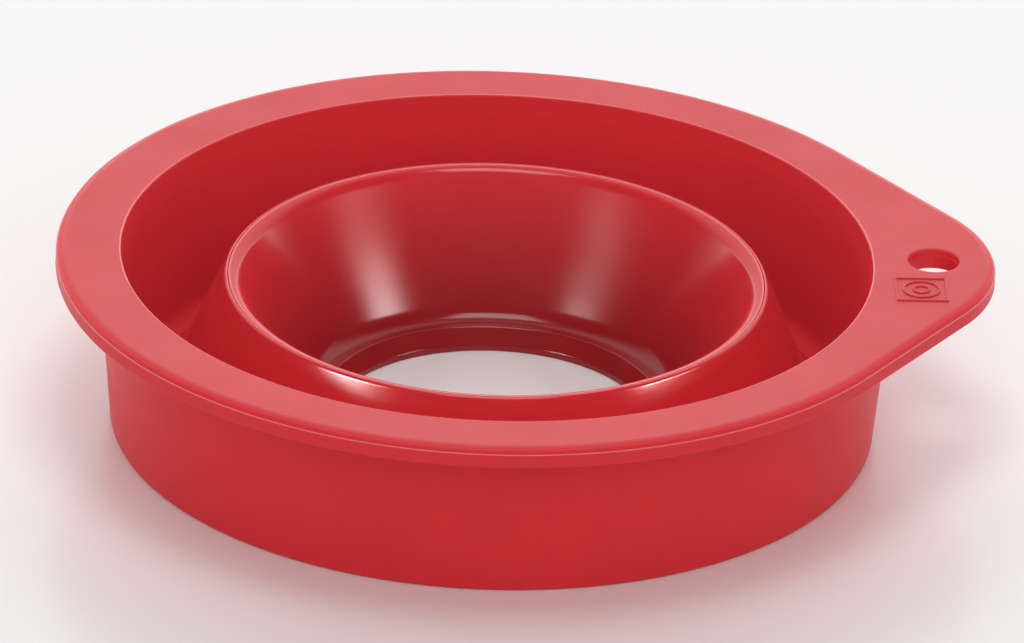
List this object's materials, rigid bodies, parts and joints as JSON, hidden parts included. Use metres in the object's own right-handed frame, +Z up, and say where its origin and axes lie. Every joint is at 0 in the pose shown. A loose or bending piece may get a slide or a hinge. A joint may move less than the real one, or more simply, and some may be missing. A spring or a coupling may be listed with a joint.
{
  "type": "ring cake pan",
  "caption": "Round silicone ring cake pan with a central funnel and hole, a flat rim flange and a hanging tab.",
  "frame": {"origin": "on the pan's axis, at the centre of the hole's edge in the plane that the pan stands on", "axes": "+Z up along the pan's axis, out of the mouth; +X along the hanging tab"},
  "size_m": [0.2251, 0.2112, 0.0444],
  "materials": {
    "silicone_matte": "matte blasted silicone on the flange and tab",
    "silicone_satin": "satin silicone on the drum's outside",
    "silicone_gloss": "polished silicone in the channel and funnel"
  },
  "bodies": {
    "root": {"rim_flange": "silicone_matte", "hang_tab": "silicone_matte", "emblem": "silicone_matte", "outer_wall": "silicone_satin", "wall_foot": "silicone_satin", "hump_foot": "silicone_gloss", "inner_wall": "silicone_gloss", "crest_bead": "silicone_gloss", "funnel_cone": "silicone_gloss", "centre_collar": "silicone_gloss"}
  },
  "joints": []
}
